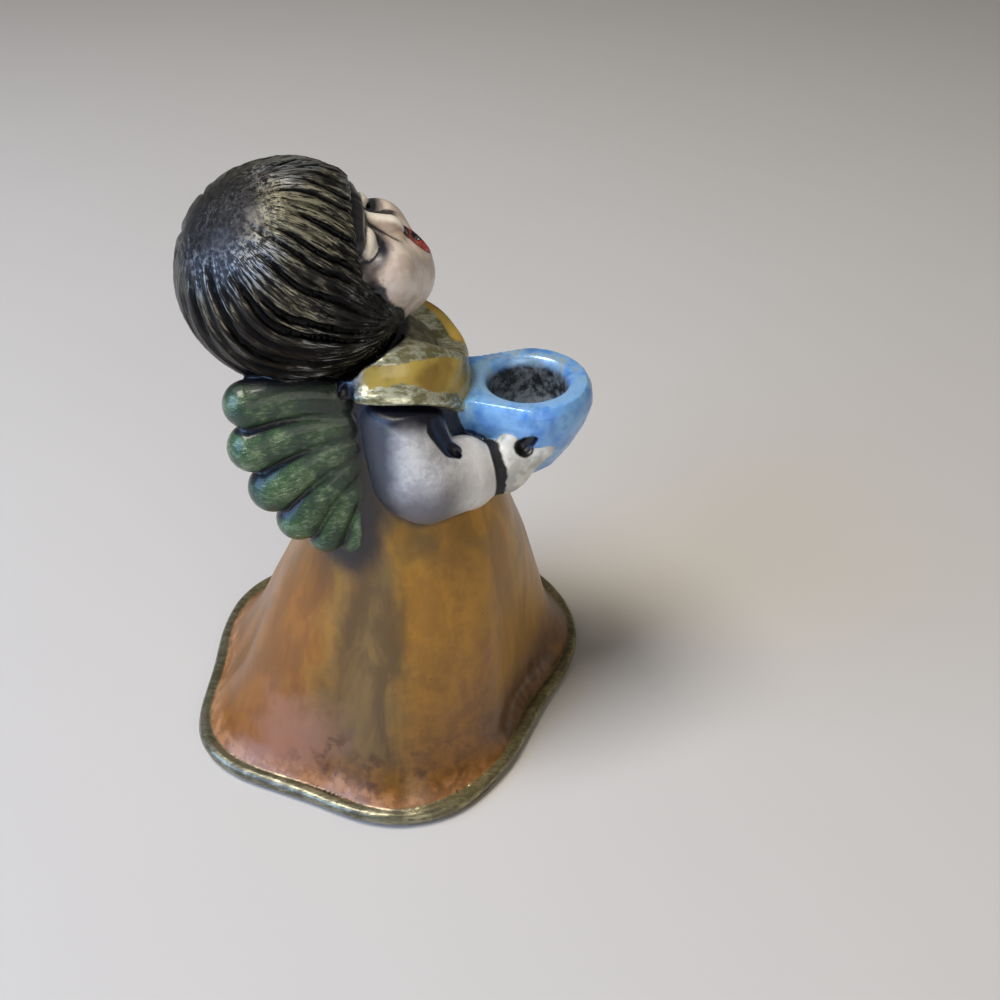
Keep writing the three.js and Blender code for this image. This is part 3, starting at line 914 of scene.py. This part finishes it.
def robe_coat(g, at):
    height = g.part(at, 2)
    cloud = g.noise(g.stretched(at, (1.0, 1.0, 0.45)), 17, 3.0, 0.5)
    streak = g.noise(g.stretched(at, (1.0, 1.0, 0.22)), 5.5, 4.0, 0.6, 0.4)
    fine = g.noise(at, 2.4, 4.0, 0.65)
    turn = skirt_turn(g, at) + g.noise(at, 15, 2.0).sway(36.0) + streak.sway(14.0)

    ochre = g.mottled(streak * 0.6 + fine * 0.4, 0.4, 0.62, (148, 102, 26), (172, 122, 32))
    umber = g.mottled(fine, 0.4, 0.6, (86, 48, 8), (114, 68, 12))
    colour = g.mix(g.rise(34.0 - height + cloud.sway(26.0), 0.0, 26.0) * 0.75, ochre, umber)
    orange = g.mottled(streak, 0.4, 0.6, (122, 72, 12), (142, 86, 14))
    colour = g.mix((1.0 - g.band(turn, -127.0, 148.0, 7.0)) * 0.85, colour, orange)
    # Yellow ochre on the front and right, made lighter there as painted light falling from the front.
    lit_yellow = g.mottled(streak, 0.4, 0.6, (156, 112, 34), (184, 134, 40))
    colour = g.mix(g.band(turn, -42.0, 60.0, 10.0) * g.rise(height, 8.0, 20.0) * 0.8, colour, lit_yellow)
    # Painted shade, grey-brown, down the valley between the folds on the near side.
    grey = g.mottled(streak, 0.38, 0.6, (74, 58, 34), (104, 82, 44))
    valley_shade = g.band(turn, -121.0, -84.0, 9.0) * g.rise(height + cloud.sway(10.0), 4.0, 12.0)
    colour = g.mix(valley_shade * 0.8, colour, grey)
    olive = g.rise(g.noise(at, 9, 2.0), 0.5, 0.72) * g.rise(height, 20.0, 50.0)
    colour = g.mix(olive * 0.55, colour, (104, 82, 34))

    # Painted pink sheen low on the skirt's near left, a painted reflection of the window light.
    low = g.rise(21.0 - height + fine.sway(8.0), 0.0, 9.0)
    colour = g.mix(g.band(turn, -140.0, -114.0, 9.0) * low * 0.6, colour, (158, 114, 98))
    spots = g.rise(g.noise(at, 4.2, 3.0, 0.6), 0.52, 0.68) * g.band(height, 4.0, 12.0, 3.0)
    colour = g.mix(spots * g.band(turn, -125.0, -40.0, 12.0) * 0.85, colour, (70, 38, 16))
    # A painted highlight in pale orange along the hem just above the bead, on the near side and the back.
    painted_sheen = g.mottled(fine, 0.42, 0.6, (146, 98, 58), (180, 128, 84))
    sheen_by_bead = g.rise(6.0 - height + fine.sway(3.0), 0.0, 2.5)
    colour = g.mix(sheen_by_bead * (1.0 - g.band(turn, -62.0, 150.0, 12.0)) * 0.8, colour, painted_sheen)
    mauve = g.mottled(streak, 0.4, 0.6, (80, 62, 44), (128, 98, 72))
    turned_up = g.band(turn, -46.0, 6.0, 9.0) * g.rise(15.0 - height + fine.sway(5.0), 0.0, 8.0)
    colour = g.mix(turned_up * 0.8, colour, mauve)
    speck = g.rise(g.noise(at, 1.1, 1.0), 0.79, 0.82)
    colour = g.mix(speck * 0.8, colour, (44, 30, 20))

    # Dark brown in the hollows: painted shade.
    shade_and_wash = g.rise(g.known("hollow") + streak.sway(0.3), 0.45, 0.9)
    colour = g.mix(shade_and_wash * 0.6, colour, (62, 42, 24))
    # Painted shade, nearly black, beside the wings and the sleeves and deep in the creases.
    shade_by_wing = g.rise(g.known("wing") + fine.sway(3.0), -5.4, -1.2)
    shade_by_sleeve = g.rise(g.known("sleeve") + fine.sway(2.0), -2.6, -0.5) * 0.9
    dip = g.rise(g.dips(0.6), 0.7, 1.25)
    colour = g.mix(g.most(g.most(shade_by_wing, shade_by_sleeve), dip) * 0.92, colour, (22, 17, 15))
    # The chest above the waist is dark navy, partly dark paint and partly painted shade between the arms.
    navy = g.rise(height + streak.sway(6.0), 64.0, 66.5)
    colour = g.mix(navy, colour, (20, 24, 38))
    in_collar = g.rise(height, 75.0, 76.5) * g.fall(g.known("hair"), -2.4, -1.2)
    colour = g.mix(in_collar, colour, collar_paint(g, fine))
    return Coat(colour, 0.34 + cloud.sway(0.12), 0.0, 0.16, streak.sway(0.06) + fine.sway(0.03))


def hair_coat(g, at):
    away = g.known("from_whorl")
    combed_out = g.rise(away, 0.14, 0.34)
    scatter = g.noise(at, 0.8, 4.0, 0.7)

    def along_strands(across, lengthwise):
        place = g.node("ShaderNodeCombineXYZ", {}, {
            0: g.known("comb_x") * across, 1: g.known("comb_y") * across, 2: away * lengthwise})
        return g.noise(place, 1.0, 4.0, 0.65)

    strand = (along_strands(24.0, 8.0) - scatter) * combed_out + scatter
    fleck = (along_strands(40.0, 22.0) - scatter) * combed_out + scatter
    groove = g.known("groove")
    cloud = g.noise(at, 9, 3.0)
    height = g.part(at, 2) + cloud.sway(18.0)
    # The upper hair gets a lighter, glossier metal base than the black below: a painted sheen on top.
    painted_sheen = g.rise(height, 80.0, 101.0)
    on_top = g.rise(height, 97.0, 108.0)
    black = g.mottled(strand, 0.36, 0.64, (7, 6, 5), (36, 29, 21))
    grey = g.mottled(strand, 0.36, 0.64, (34, 33, 34), (68, 66, 64))
    colour = g.mix(painted_sheen, black, grey)
    # Painted shade, near black, in the grooves between the locks.
    colour = g.mix(g.rise(groove, 0.15, 0.6), colour, (9, 9, 12))
    # Silver dry-brush flecks on the crests, thicker on top, where they also stand as painted highlight.
    bald = g.rise(g.known("back_of_head") + scatter.sway(8.0), 5.0, 12.0)
    patch = g.rise(cloud + g.rise(height, 92.0, 108.0) * 0.14, 0.38, 0.56) * (1.0 - bald * 0.85)
    caught = g.rise(fleck * 0.65 + strand * 0.35 + on_top * 0.05, 0.5, 0.58)
    lit = g.rise(0.55 - groove, 0.0, 0.4) * caught * patch
    silver = g.mottled(g.noise(at, 12, 2.0), 0.42, 0.58, (172, 168, 140), (206, 208, 206))
    colour = g.mix(lit * combed_out * (painted_sheen * 0.45 + 0.45), colour, silver)
    # Painted shade, near black, in the hollows and creases.
    dark = g.rise(g.known("hollow") * 0.8 + g.known("crease") * 0.5, 0.75, 1.2)
    colour = g.mix(dark, colour, (6, 6, 8))
    relief = strand * 0.3 + scatter * 0.1 - groove * 0.1
    return Coat(colour, 0.34 - combed_out * 0.04, 0.85, painted_sheen * 0.15, relief)


def collar_paint(g, fine):
    """The tarnished silver inside the neckline."""
    return g.mottled(fine, 0.4, 0.6, (92, 90, 72), (146, 144, 118))


def face_coat(g, at):
    cloud = g.noise(at, 3.5, 3.0)
    fine = g.noise(at, 0.9, 3.0, 0.6)
    up = g.known("head_up") + fine.sway(1.5)
    colour = g.mottled(cloud, 0.4, 0.62, (206, 188, 174), (228, 214, 202))
    pale = (232, 224, 210)
    by_nose = g.known("nose") + fine.sway(0.4)
    on_nose = g.rise(by_nose, -0.5, 0.0)
    # The nose gets a painted highlight along its ridge and painted shade on its flanks.
    left = g.known("head_left") + fine.sway(0.5)
    ridge = g.band(left, -1.1, 1.1, 0.4)
    colour = g.mix(on_nose * 0.85, colour, g.mix(ridge, (164, 144, 128), (242, 236, 224)))
    # Painted shade, grey-brown, in the creases.
    crease = g.rise(g.dips(0.3) + fine.sway(0.3), 0.35, 0.85)
    colour = g.mix(crease * 0.8, colour, (84, 66, 62))

    # Dark wash round the eyes and along the fringe, and painted shade beside and under the nose and deep in
    # the creases, wiped off the lids and cheeks.
    lid = g.known("lids") + fine.sway(0.5)
    off_nose = g.fall(by_nose, -0.6, -0.1)
    above_cheeks = g.rise(up, -5.6, -4.2)
    grey = g.mottled(fine, 0.4, 0.6, (58, 58, 66), (104, 96, 98))
    shaded = g.most(g.rise(lid, -2.7, -1.5), above_cheeks)
    colour = g.mix(shaded * off_nose * 0.9, colour, grey)
    fringe = g.rise(g.known("hair") + fine.sway(0.8), -0.7, -0.25)
    brow_wash = g.rise(up, -3.4, -2.4) * off_nose
    shade_beside_nose = g.rise(by_nose + g.rise(left, 0.5, 1.5) * 1.2, -1.2, -0.7)
    shade_beside_nose = shade_beside_nose * off_nose * g.rise(up, -8.0, -6.5)
    by_lash = g.rise(g.known("lashes") + fine.sway(0.5), -1.4, -0.8) * g.fall(lid, -0.5, -0.2)
    lashes = g.most(by_lash, g.rise(lid, -1.0, -0.5) * off_nose)
    under = g.rise(g.known("under_nose") + fine.sway(0.3), -0.5, 0.0)
    deep = g.rise(g.known("crease") + fine.sway(0.2), 0.6, 0.9) * g.fall(by_nose, -1.6, -0.9)
    shade_and_wash = g.most(fringe, g.most(brow_wash, shade_beside_nose) * 0.92)
    shade_and_wash = g.most(shade_and_wash, g.most(g.most(lashes, under * 0.75), deep))
    colour = g.mix(shade_and_wash, colour, (24, 25, 35))
    wiped = g.rise(lid, -0.35, -0.05) * g.fall(g.known("lashes"), -0.6, -0.3)
    colour = g.mix(wiped * g.fall(up, -1.5, -0.7) * (1.0 - fringe), colour, pale)

    red = g.mottled(fine, 0.35, 0.7, (128, 46, 44), (170, 88, 82))
    colour = g.mix(g.rise(g.known("mouth") + fine.sway(0.2), -0.5, -0.35), colour, red)
    # Painted shade, near black, in the mouth's slit and in the nostrils.
    hole = g.most(g.rise(g.known("throat"), -0.3, -0.05), g.rise(g.known("nostrils"), -0.3, -0.1))
    colour = g.mix(hole, colour, (18, 13, 15))
    collar = g.rise(84.5 - g.part(at, 2) + fine.sway(1.5), 0.0, 1.0) * g.rise(g.known("neck"), -1.5, -0.5)
    colour = g.mix(collar, colour, collar_paint(g, fine))
    return Coat(colour, 0.34 + cloud.sway(0.1), 0.0, 0.35, fine.sway(0.04))


def cape_coat(g, at):
    cloud = g.noise(at, 6, 3.0)
    fine = g.noise(at, 1.1, 3.0, 0.6)
    colour = g.mottled(cloud, 0.4, 0.6, (152, 130, 60), (192, 166, 80))
    # The far side of the cape is bright yellow, partly its own paint and partly painted light on that side.
    far = g.rise(g.part(at, 0) + fine.sway(1.2), 0.6, 1.8)
    lit_yellow = g.mottled(cloud, 0.4, 0.6, (210, 166, 62), (230, 196, 96))
    colour = g.mix(far, colour, lit_yellow)
    brown = g.rise(g.noise(at, 8, 1.0), 0.54, 0.68)
    colour = g.mix(brown * 0.5 * (1.0 - far), colour, (118, 84, 40))
    hem = g.known("cape_hem") + g.noise(at, 4.5, 2.0).sway(3.6) + fine.sway(0.8)
    neck = g.known("neckline") + g.noise(at, 4.0, 2.0).sway(1.6) + fine.sway(0.8)
    flank = g.known("cape_side") + fine.sway(0.6)
    inside = g.most(1.0 - far, g.fall(flank, -1.5, -1.1))
    gilt = g.most(g.fall(hem, 2.8, 3.1), g.fall(neck, 1.5, 1.8) * inside)
    plain = Coat(colour, 0.26, 0.0, 0.5, fine.sway(0.05))
    coat = plain.under(g, gilt, gilt_coat(g, at, (124, 120, 82), (236, 238, 210)))
    # Painted shade, near black, on the back of the cape, under the hair and in the dips.
    behind = g.rise(g.part(at, 1) + fine.sway(2.0), -1.2, 1.4)
    shade_by_hair = g.rise(g.known("hair") + fine.sway(0.8), -1.9, -1.1)
    dark = g.most(g.most(shade_by_hair, behind), g.rise(g.dips(0.4), 0.85, 1.3))
    coat.colour = g.mix(dark, coat.colour, (16, 16, 18))
    return coat


def gilt_coat(g, at, deep, bright):
    """Dry-brushed metal paint: dull in the dips, bright where the brush has caught."""
    brush = g.noise(g.stretched(at, (1.0, 0.35, 1.1), (0.7, 0.0, 0.3)), 0.8, 4.0, 0.7)
    cloud = g.noise(at, 4, 3.0)
    caught = g.rise(brush * 0.6 + cloud * 0.5, 0.46, 0.66)
    colour = g.mix(caught, deep, bright)
    return Coat(colour, 0.34 - caught * 0.04, 0.35 + caught * 0.4, 0.3, brush.sway(0.1))


def sleeve_coat(g, at):
    cloud = g.noise(at, 5, 4.0, 0.6)
    fine = g.noise(at, 1.0, 4.0, 0.7)
    colour = g.mottled(fine * 0.4 + cloud * 0.6, 0.38, 0.6, (160, 159, 162), (198, 198, 196))
    # Painted shade on the lower part of the sleeve, behind the puff.
    low = g.rise(68.0 - g.part(at, 2) + cloud.sway(8.0), 0.0, 6.5) * g.rise(g.part(at, 1), -18.0, -12.0)
    colour = g.mix(low * 0.85, colour, (88, 82, 88))
    # Painted highlight on the puff at the front of the sleeve.
    puff = g.fall(g.part(at, 1), -18.0, -14.0)
    colour = g.mix(puff * 0.6, colour, (236, 232, 224))
    smudge = g.rise(fine * 0.5 + cloud * 0.5, 0.54, 0.68)
    colour = g.mix(smudge * 0.35, colour, (110, 106, 112))
    # Near-black navy under the cape, at the back, beside the cup and in the pinch, partly dark paint and
    # partly painted shade, and painted shade in the creases.
    cap = g.most(g.rise(g.known("cape") + cloud.sway(2.0), -4.0, -1.6),
                 g.rise(g.part(at, 1) + cloud.sway(3.0), -7.4, -3.2) * 0.92)
    cap = g.most(cap, g.rise(g.known("cup") + fine.sway(1.2), -3.4, -1.4))
    above_pinch = g.rise(g.part(at, 2), 67.4, 68.6)
    cap = g.most(cap, g.rise(g.known("pinch") + above_pinch * 0.9 + fine.sway(0.4), -0.5, -0.1))
    shade_and_wash = g.rise(g.dips(0.7) + fine.sway(0.5), 0.55, 1.1)
    colour = g.mix(g.most(shade_and_wash, cap), colour, (18, 19, 30))
    return Coat(colour, 0.42 + fine.sway(0.2), 0.0, 0.25 - cap * 0.2, fine.sway(0.1))


def hand_coat(g, at):
    cloud = g.noise(at, 3, 3.0)
    fine = g.noise(at, 0.8, 4.0, 0.7)
    colour = g.mottled(cloud, 0.4, 0.62, (180, 178, 170), (222, 220, 212))
    # Near black at the wrist inside the sleeve's mouth, partly dark paint and partly painted shade, and
    # painted shade in the creases and the finger hole.
    dark_cuff_and_shade = g.rise(g.known("sleeve") + g.noise(at, 2.2, 2.0).sway(1.2), -1.6, -1.2)
    shade_and_wash = g.rise(g.dips(0.5) + fine.sway(0.5), 0.6, 1.1)
    shade_and_wash = g.most(shade_and_wash, g.rise(g.known("finger_hole") + fine.sway(0.3), -0.7, -0.3))
    colour = g.mix(g.most(shade_and_wash, dark_cuff_and_shade), colour, (10, 9, 12))
    return Coat(colour, 0.42 + dark_cuff_and_shade * 0.2, 0.0, 0.25 - dark_cuff_and_shade * 0.2, fine.sway(0.06))


def cup_coat(g, at):
    cloud = g.noise(at, 5, 3.0)
    fine = g.noise(at, 0.8, 4.0, 0.7)
    blue = g.mottled(cloud, 0.36, 0.62, (86, 148, 224), (130, 186, 238))
    near_mouth = g.rise(g.known("bore") + cloud.sway(2.0), -3.6, -1.2)
    pearl = g.rise(fine * 0.5 + cloud * 0.5 + near_mouth * 0.1, 0.5, 0.62) * (near_mouth * 0.6 + 0.4)
    colour = g.mix(pearl * 0.5, blue, (164, 204, 242))
    # Gold flecks round the far side of the mouth: gilt paint and painted glints.
    gold_and_glint = g.rise(g.noise(at, 2.4, 4.0, 0.7), 0.48, 0.62) * near_mouth * g.rise(g.part(at, 0), -4.0, 3.0)
    colour = g.mix(gold_and_glint * 0.6, colour, (178, 178, 158))
    deep = g.rise(g.noise(at, 4.0, 3.0, 0.6), 0.56, 0.7)
    colour = g.mix(deep * 0.35, colour, (48, 92, 164))
    # Painted shade, dark blue, in the creases and the finger hole.
    shade_and_wash = g.rise(g.dips(0.2) + fine.sway(0.4), 0.8, 1.2)
    shade_and_wash = g.most(shade_and_wash * 0.85, g.rise(g.known("finger_hole") + fine.sway(0.3), -0.5, -0.1))
    colour = g.mix(shade_and_wash, colour, (18, 26, 46))
    # Inside the socket: painted shade, dark on the wall and paler on the floor below.
    inside = g.rise(g.known("bore") + fine.sway(1.2) + cloud.sway(1.2), -1.1, -0.6)
    grit = g.noise(at, 1.5, 4.0, 0.65)
    on_floor = g.rise(CUP_TOP - 5.5 - g.part(at, 2) + grit.sway(4.0), 0.0, 3.0)
    shaded_wall = g.mottled(grit, 0.38, 0.64, (34, 38, 44), (128, 136, 144))
    floor = g.mottled(grit, 0.34, 0.62, (104, 114, 126), (164, 174, 186))
    socket = Coat(g.mix(on_floor, shaded_wall, floor), 0.45, 0.2, 0.3, grit.sway(0.3))
    pearly = Coat(colour, 0.34 - pearl * 0.08, 0.08 + pearl * 0.14, 0.45, fine.sway(0.08))
    depth = g.rise(CUP_TOP - 0.6 - g.part(at, 2), 0.0, 1.6)
    return pearly.under(g, inside * depth, socket)


def wing_coat(g, at):
    cloud = g.noise(at, 4, 3.0)
    fine = g.noise(at, 0.6, 4.0, 0.7)
    stroke = g.noise(g.stretched(at, (1.0, 0.4, 1.3), (0.6, 0.0, 0.4)), 0.6, 4.0, 0.75)
    colour = g.mottled(cloud, 0.38, 0.62, (30, 60, 40), (60, 94, 50))
    open_face = g.fall(g.known("hollow"), 0.12, 0.4)
    caught = g.rise(stroke * 0.6 + cloud * 0.4, 0.49, 0.62) * open_face
    colour = g.mix(caught * 0.55, colour, (162, 180, 150))
    # Painted shade, near black, in the creases and hollows and near the sleeve, cape and hair.
    dark = g.rise(g.known("crease") * 0.8 + g.known("hollow") * 0.8, 0.3, 0.8)
    shade_by_shoulder = g.most(g.most(g.known("sleeve"), g.known("cape")), g.known("hair")) + cloud.sway(4.0)
    colour = g.mix(g.most(dark, g.rise(shade_by_shoulder, -6.5, -1.0) * 0.8), colour, (9, 12, 16))
    return Coat(colour, 0.34 - caught * 0.1, 0.15 + caught * 0.5, 0.5, stroke.sway(0.2) + fine.sway(0.08))


def bead_coat(g, at):
    # The bead's near side and back take a darker gilt than its front and right, as painted light and shade.
    left = 1.0 - g.band(skirt_turn(g, at), -80.0, 150.0, 16.0)
    coat = gilt_coat(g, at, (100, 90, 60), (160, 148, 104))
    coat = coat.under(g, left, gilt_coat(g, at, (82, 78, 56), (146, 142, 118)))
    # Painted shade, near black, in the dips.
    dark = g.rise(g.dips(0.3), 0.75, 1.1)
    coat.colour = g.mix(dark * 0.9, coat.colour, (26, 19, 14))
    return coat


def painted_glaze():
    g = Glaze("painted_glaze")
    at = g.place()
    edge = g.noise(at, 1.6, 3.0).sway(0.7)
    coat = robe_coat(g, at)
    layers = (
        ("bead", bead_coat, 0.25, 0.6), ("wing", wing_coat, 0.2, 0.6), ("sleeve", sleeve_coat, 0.2, 0.6),
        ("hand", hand_coat, 0.15, 0.6), ("cup", cup_coat, 0.15, 0.6), ("cape", cape_coat, 0.15, 0.6),
        ("face", face_coat, 0.12, 0.3), ("hair", hair_coat, 0.12, 0.3))
    for name, coat_of, width, raggedness in layers:
        mask = g.rise(g.known(name) + edge * raggedness, -width, width)
        coat = coat.under(g, mask, coat_of(g, at))
    biscuit = g.fall(g.part(at, 2) + edge * 0.4, 0.12, 0.3)
    clay = Coat((196, 180, 156), 0.85, 0.0, 0.0, g.noise(at, 0.8, 4.0, 0.7).sway(0.2))
    coat = coat.under(g, biscuit, clay)
    roughness, metal, gloss, height = coat.finish
    raised = g.node("ShaderNodeBump", {}, {"Height": height, "Distance": 0.001, "Strength": 1.0})
    glazed = g.node("ShaderNodeBsdfPrincipled", {}, {
        "Base Color": coat.colour, "Roughness": roughness, "Metallic": metal,
        "Coat Weight": gloss, "Coat Roughness": 0.16, "IOR": 1.5, "Normal": raised})
    g.node("ShaderNodeOutputMaterial", {}, {"Surface": glazed}, None)
    return g.material


def floor_paint():
    g = Glaze("pale_floor")
    pale = paint_colour(206, 202, 196)
    tone = g.mix(g.noise(g.place(), 60, 2.0), pale, tuple(part * 0.97 for part in pale[:3]) + (1.0,))
    surface = g.node("ShaderNodeBsdfPrincipled", {}, {"Base Color": tone, "Roughness": 0.7})
    g.node("ShaderNodeOutputMaterial", {}, {"Surface": surface}, None)
    return g.material


# The studio: a pale floor, soft light from the left, and the photograph's viewpoint.

def studio():
    bpy.ops.mesh.primitive_plane_add(size=6.0, location=(0, 0, 0))
    floor = bpy.context.active_object
    floor.name = "studio_floor"
    floor.data.materials.append(floor_paint())

    camera_data = bpy.data.cameras.new("photo_view")
    camera_data.sensor_width = 36.0
    camera_data.lens = CAMERA_LENS
    camera = put_in_scene("photo_view", camera_data)
    camera.location = CAMERA_PLACE
    camera.rotation_euler = (math.radians(90 - CAMERA_PITCH), 0, math.radians(-90))
    bpy.context.scene.camera = camera

    def softbox(name, place, aim, size, power, colour):
        lamp = bpy.data.lights.new(name, "AREA")
        lamp.shape = "RECTANGLE"
        lamp.size, lamp.size_y = size
        lamp.energy = power
        lamp.color = colour
        box = put_in_scene(name, lamp)
        box.location = place
        away = [b - a for a, b in zip(place, aim)]
        yaw = math.atan2(away[1], away[0]) - math.pi / 2
        pitch = math.atan2(math.hypot(away[0], away[1]), -away[2])
        box.rotation_euler = (pitch, 0, yaw)

    middle = (0, 0, 0.06)
    softbox("window", (-0.3, 0.6, 0.4), middle, (0.56, 0.5), 5.0, (0.34, 0.55, 1.0))
    softbox("ceiling", (-0.12, 0.3, 0.9), middle, (0.4, 0.34), 7.4, (1.0, 0.93, 0.82))
    softbox("front", (-0.75, -0.3, 0.35), middle, (0.5, 0.5), 1.5, (1.0, 0.94, 0.86))

    world = bpy.data.worlds.new("room")
    world.use_nodes = True
    background = world.node_tree.nodes["Background"].inputs
    background["Color"].default_value = (0.62, 0.6, 0.56, 1)
    background["Strength"].default_value = 0.16
    bpy.context.scene.world = world
    bpy.context.scene.view_settings.view_transform = "Standard"


angel = cast_figure()
angel.data.materials.append(painted_glaze())
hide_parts("angel_candleholder")
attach(angel, "root")
studio()
